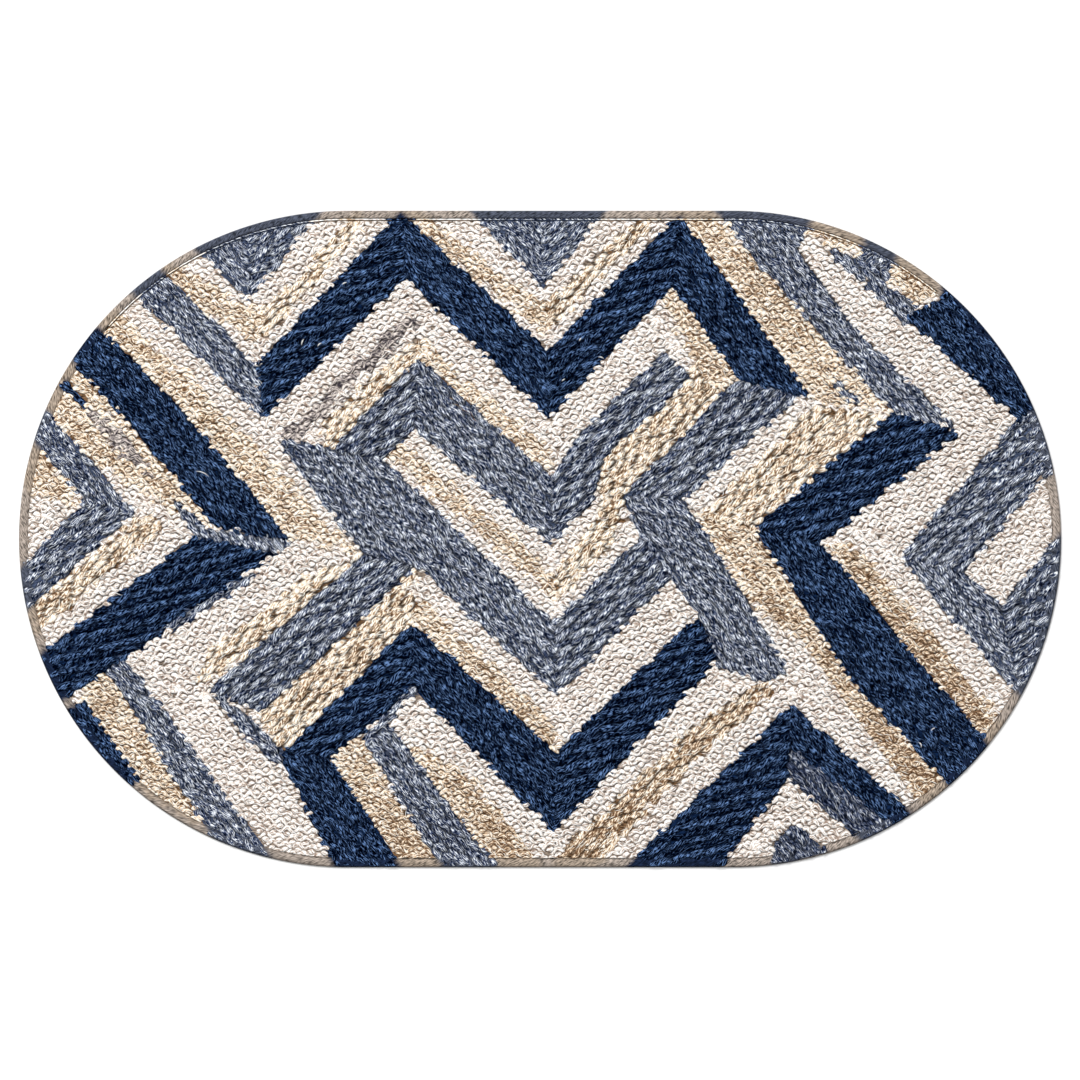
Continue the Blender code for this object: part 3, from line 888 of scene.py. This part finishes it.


# Painted_shade is the colour that painted shade mixes in down the sides of each lobe and between the strands:
# none until a point has sunk to dark_from, and dark_share of it at the deepest.
Yarn = namedtuple("Yarn", "colours pit fibre_length fibre_width spread dark_from dark_share sheen")
YARNS = {
    # bleached cotton: nearly white on each stitch, with a warm, pinkish shade, and painted shade in thin dark
    # lines down in the folds
    "cream": Yarn(("#9c887b", "#e6d8cc", "#fffcf7", "#ffffff"), "#2a1f17", 3.6, 0.9, 0.3, 0.27, 0.74, 0.05),
    # undyed tan cotton: sandy fibres with pale flecks and brown shadows
    "tan": Yarn(("#6d5039", "#e0c2a0", "#fff1dc", "#fffdf6"), "#2a1e16", 3.4, 0.8, 0.45, 0.34, 0.84, 0.05),
    # grey-brown heathered cotton
    "ash": Yarn(("#39343b", "#857c7c", "#b9aea8", "#ece2da"), "#25212a", 4.0, 1.0, 0.4, 0.3, 0.95, 0.05),
    # heathered blue cotton: pale and dark fibres spun together, so that it glitters up close
    "denim": Yarn(("#050b1a", "#2c3856", "#66728f", "#f4f9ff"), "#070c19", 4.0, 0.55, 0.15, 0.14, 0.75, 0.03),
    # navy cotton: deep blue with a few lighter fibres
    "navy": Yarn(("#000106", "#02081a", "#071632", "#6888ba"), "#00020c", 4.0, 0.55, 0.15, 0.14, 0.75, 0.0),
}
RAMP_PLACES = (0.0, 0.36, 0.66, 1.0)


def yarn_material(yarn, craft):
    """Spun yarn: light and dark fibres along each strand, and painted shade down between the strands."""
    look = YARNS[yarn]
    material, tree, shader = cloth_material(f"{yarn} cotton yarn, {craft}", sheen=look.sheen)
    noise, streaks = fibres(tree, look.fibre_length, look.fibre_width, lowest=0.36, highest=0.64)
    marks = add(tree, "ShaderNodeVertexColor", {"layer_name": "yarn"})
    tone, sunk = add(tree, "ShaderNodeSeparateColor", links={"Color": marks.outputs["Color"]}).outputs[:2]
    centred = {"operation": "MULTIPLY_ADD", 1: look.spread, 2: -look.spread / 2}
    shift = add(tree, "ShaderNodeMath", centred, {0: tone})
    total = add(tree, "ShaderNodeMath", {"operation": "ADD"}, {0: streaks, 1: shift.outputs["Value"]})
    body = ramp(tree, tuple(zip(RAMP_PLACES, look.colours)), total.outputs["Value"])
    # painted shade: the further a point lies below its lobe's crest, the more of the painted shade colour it
    # takes
    darkening = {"interpolation_type": "SMOOTHSTEP", "From Min": look.dark_from, "To Max": look.dark_share}
    deep = add(tree, "ShaderNodeMapRange", darkening, {"Value": sunk})
    tree.links.new(mix(tree, deep.outputs["Result"], body, linear(look.pit)), shader.inputs["Base Color"])
    bump = add(tree, "ShaderNodeBump", {"Strength": 0.5, "Distance": 0.3 * MM}, {"Height": noise})
    tree.links.new(bump.outputs["Normal"], shader.inputs["Normal"])
    return material


def painted_material(name, length, width, contrast):
    """Cloth that takes its colour from the piece, with light and dark fibres laid over it."""
    material, tree, shader = cloth_material(name, sheen=0.05)
    noise, streaks = fibres(tree, length, width, lowest=0.3, highest=0.7)
    paint = add(tree, "ShaderNodeVertexColor", {"layer_name": "shade"})
    dim, bright = 1 - contrast, 1 + contrast
    level = add(tree, "ShaderNodeMapRange", {"To Min": dim, "To Max": bright}, {"Value": streaks})
    factors = {0: paint.outputs["Color"], "Scale": level.outputs["Result"]}
    scaled = add(tree, "ShaderNodeVectorMath", {"operation": "SCALE"}, factors)
    tree.links.new(scaled.outputs["Vector"], shader.inputs["Base Color"])
    bump = add(tree, "ShaderNodeBump", {"Strength": 0.4, "Distance": 0.3 * MM}, {"Height": noise})
    tree.links.new(bump.outputs["Normal"], shader.inputs["Normal"])
    return material


# ---------------------------------------------------------------- the rug's pieces
CORE_SHARE = 0.6  # of the field's height: the core that the stitches stand on
# painted shade: each yarn darkened, for the core where it shows down between the stitches
CORE_SHADE_COLOURS = {
    "cream": "#8a7b6e", "tan": "#735840", "denim": "#404a60", "navy": "#0d1e3a", "ash": "#5f5757",
}
UNDERSIDE_COLOUR = "#c3b49c"
FACES_UP = 0.1  # the least that a face's normal points up on the upper side


def core():
    """The flat core under the stitches: the field's own plan, each strip's yarn darkened as painted shade."""
    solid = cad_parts["rug_field"].data
    points = np.array([v.co for v in solid.vertices]) / MM
    points[:, 2] *= CORE_SHARE
    sizes = np.array([len(p.vertices) for p in solid.polygons])
    corners = np.array([v for p in solid.polygons for v in p.vertices])
    material = painted_material("woven cotton core", length=3.6, width=0.8, contrast=0.8)
    made = new_mesh("rug_core", points, sizes, corners, material)
    mesh = made.data
    mesh.shade_flat()
    found, _ = chart(np.array([p.center[:2] for p in mesh.polygons]) / MM)
    colours = []
    for polygon, number in zip(mesh.polygons, found):
        colour = CORE_SHADE_COLOURS[YARN_NAMES[number]] if polygon.normal.z > FACES_UP else UNDERSIDE_COLOUR
        colours += [linear(colour)] * len(polygon.vertices)
    add_marks(made, "shade", colours, "CORNER")
    add_map(made, "fibre", points[corners][:, :2])
    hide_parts("rug_field")
    return made


# The braid round the edge, from its outer foot over its top to its inner foot: inset and height in mm, and
# how bright it is beside the seam and where no seam shows; the low values are painted shade down in the
# groove between the braid and the field, deepest beside the seam.
BRAID_SECTION = (
    (0.6, 0.3, 1.0, 1.0),
    (0.1, 1.2, 1.0, 1.0),
    (0.1, 2.2, 1.0, 1.0),
    (0.6, 3.1, 1.0, 1.0),
    (1.6, 3.8, 1.0, 1.0),
    (2.3, 4.1, 1.0, 1.0),
    (4.4, 4.3, 0.95, 1.0),
    (5.4, 4.2, 0.8, 1.1),
    (6.0, 3.6, 0.2, 1.1),
    (6.8, 3.0, 0.15, 1.0),
    (7.6, 2.6, 0.2, 0.8),
    (7.6, 0.3, 0.2, 0.8),
)
BRAID_COLOURS = {
    "cream": "#968b82", "tan": "#96887a", "denim": "#464b58", "navy": "#172239", "ash": "#7f776f",
}
BRAID_STEPS = 1200
BRAID_MAP_ROWS = 12  # of the baking map, each with an equal length of the braid
BRAID_MAP_MARGIN = 0.04
RIM_WIDTH = 1.2
RIM_SHADE = 0.6  # painted shade: of its colour that the outer rim loses at the foot of the rug, less up its sides
BRAID_SLANT = 35  # degrees between the braid and its fibres


def blurred_round(values, reach):
    """Each row's values averaged with its neighbours' all the way round."""
    return sum(np.roll(values, step, axis=-2) for step in range(-reach, reach + 1)) / (2 * reach + 1)


def braid():
    """The narrow flat braid that is sewn round the edge. It shows each strip's colour, greyed."""
    rows, count = len(BRAID_SECTION), BRAID_STEPS
    inset, height, beside, plain = np.array(BRAID_SECTION).T
    points = np.array([np.column_stack((oval(i, count), np.full(count, z))) for i, z in zip(inset, height)])
    row, step = np.meshgrid(np.arange(rows), np.arange(count), indexing="ij")
    ring = np.stack((row, row + 1, row + 1, row), -1)
    place = np.stack((step, step, step + 1, step + 1), -1)
    corners = (ring % rows * count + place % count).ravel()
    material = painted_material("flat cotton braid, greyed", length=3.6, width=0.9, contrast=0.75)
    made = new_mesh("edge_braid", points.reshape(-1, 3), np.full(rows * count, 4), corners, material)

    around = 2 * math.pi * RADIUS + 4 * REACH
    across = np.concatenate(((0,), np.cumsum(np.hypot(np.diff(inset), np.diff(height))), (20,)))
    u = place * around / count
    v = across[ring]
    add_map(made, "fibre", slanted(u, v, BRAID_SLANT).reshape(-1, 2))
    length = count // BRAID_MAP_ROWS
    map_row = (step // length)[..., None]
    scale = 1 - 2 * BRAID_MAP_MARGIN
    up = (map_row + BRAID_MAP_MARGIN + scale * ring / rows) / BRAID_MAP_ROWS
    atlas = np.stack(((place - map_row * length) / length, up), -1)
    add_map(made, "OFBake", atlas.reshape(-1, 2))

    found, _ = chart(points[:, :, :2].reshape(-1, 2))
    table = np.array([linear(BRAID_COLOURS[yarn]) for yarn in YARN_NAMES])
    colours = blurred_round(table[found].reshape(rows, count, 4), 1)
    x, y = points[..., 0], points[..., 1]
    # painted shade in the groove beside the seam and along the outer rim toward the rug's foot
    bright = np.where(seam_shows(x, y), beside[:, None], plain[:, None])
    bright *= 1 - RIM_SHADE * (inset < RIM_WIDTH)[:, None] * (0.15 - y / RADIUS).clip(0, 1)
    colours[..., :3] *= bright[..., None]
    add_marks(made, "shade", colours)
    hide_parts("edge_binding")
    return made


SEAM_INSET = 6.75
SEAM_HALF_WIDTH = 0.5
SEAM_TOP = 4.8
SEAM_STITCH = 11.8  # from the start of one stitch to the next
SEAM_RINGS = 7
SEAM_TONES = {"cream": 1.3, "tan": 0.9, "ash": 0.9, "denim": 0.8, "navy": 0.1}


def seam():
    """The long stitches that hold the braid, each yarn's own where it crosses that yarn's strips."""
    around = 2 * math.pi * (RADIUS - SEAM_INSET) + 4 * REACH
    count = round(around / SEAM_STITCH)
    path = oval(SEAM_INSET, count * (SEAM_RINGS - 1))
    rows = np.arange(count)[:, None] * (SEAM_RINGS - 1) + np.arange(SEAM_RINGS)
    middle = np.zeros((count, SEAM_RINGS, 3))
    middle[..., :2] = path[rows % len(path)]
    centre = middle[:, SEAM_RINGS // 2, :2]
    t = np.linspace(-1, 1, SEAM_RINGS)[None]
    half = SEAM_HALF_WIDTH * (1.0 - 0.35 * t**6) * np.ones((count, 1))
    middle[..., 2] = SEAM_TOP - half - 0.5 * t**6
    found, _ = chart(centre)
    shows = seam_shows(*centre.T)
    for number, yarn in enumerate(YARN_NAMES):
        kept = (found == number) & shows
        if kept.any():
            tone = np.full(kept.sum(), SEAM_TONES[yarn])
            lobes = Lobes(middle[kept], half[kept], half[kept], tone, np.full(kept.sum(), 20), STITCH_ROUND)
            yield yarn, lobes


def floor():
    """The studio's floor, nearly white."""
    bpy.ops.mesh.primitive_plane_add(size=8, location=(0, 0, 0))
    plane = bpy.context.object
    plane.name = "floor"
    material, tree, shader = cloth_material("pale studio floor", sheen=0.0, roughness=0.9)
    place = add(tree, "ShaderNodeTexCoord").outputs["Object"]
    blotches = add(tree, "ShaderNodeTexNoise", {"Scale": 6.0, "Detail": 2.0}, {"Vector": place})
    paint = ramp(tree, ((0.3, "#f6f6f6"), (0.7, "#fdfdfd")), blotches.outputs["Fac"])
    tree.links.new(paint, shader.inputs["Base Color"])
    plane.data.materials.append(material)


PICTURE_WIDTH = 0.8292  # of the floor, in metres: what the photo's 1080 pixels cover
CAMERA_HEIGHT = 6.0


def light_and_camera():
    """Soft white light from all round and a broad lamp at the upper left; the camera straight above."""
    world = bpy.data.worlds.new("studio")
    bpy.context.scene.world = world
    world.use_nodes = True
    world.node_tree.nodes["Background"].inputs["Color"].default_value = (1, 1, 1, 1)
    world.node_tree.nodes["Background"].inputs["Strength"].default_value = 0.56

    lamp = bpy.data.lights.new("lamp", "AREA")
    lamp.shape = "DISK"
    lamp.size = 2.6
    lamp.energy = 262
    hung = bpy.data.objects.new("lamp", lamp)
    hung.location = (-1.5, 2.2, 5.0)
    hung.rotation_euler = (-hung.location).to_track_quat("-Z", "Y").to_euler()
    bpy.context.collection.objects.link(hung)

    # the rug's middle is a pixel above the photo's
    camera = bpy.data.cameras.new("camera")
    camera.sensor_width = 36
    camera.lens = camera.sensor_width * CAMERA_HEIGHT / PICTURE_WIDTH
    camera.clip_end = 2 * CAMERA_HEIGHT
    held = bpy.data.objects.new("camera", camera)
    held.location = (0, -PICTURE_WIDTH / 1080, CAMERA_HEIGHT)
    bpy.context.collection.objects.link(held)
    bpy.context.scene.camera = held
    bpy.context.scene.view_settings.view_transform = "Standard"


# ---------------------------------------------------------------- putting it together
field_height = surface_of("rug_field")
CRAFTS = {
    "cream": "knitted",
    "tan": "knitted and plaited",
    "ash": "knitted",
    "denim": "plaited",
    "navy": "plaited",
}
# Seeds of what happens by chance; the first two are added to the number of the yarn and its way.
WISP_SEED, FIBRE_SEED = 100, 200
SPLIT_SEED, HAIR_SEED, SEAM_SEED = 50, 60, 300

ground = core()
pieces = [braid()]
finishes = {yarn: yarn_material(yarn, craft) for yarn, craft in CRAFTS.items()}
for number, yarn in enumerate(CRAFTS):
    for rises in (True, False):
        seed = 10 * number + rises
        maker = plaited if (yarn, rises) in PLAITS else knitted
        groups = maker(yarn, rises, seed)
        if groups:
            name = f"{yarn}_{'rising' if rises else 'falling'}"
            groups.append(loose_wisps(yarn, rises, seed + WISP_SEED))
            if yarn == "tan" and not rises:
                groups.append(splits(np.random.default_rng(SPLIT_SEED)))
            piece = lobes_object(name, groups, finishes[yarn], seed + FIBRE_SEED, yarn_inset(yarn))
            pieces.append(piece)
pale = [hairs(np.random.default_rng(HAIR_SEED))]
caught = lobes_object("caught_hairs", pale, finishes["cream"], HAIR_SEED + 1, FIELD_INSET)
pieces.append(caught)
for yarn, lobes in seam():
    piece = lobes_object(f"seam_{yarn}", [lobes], finishes[yarn], SEAM_SEED, limit=0)
    pieces.append(piece)

floor()
light_and_camera()
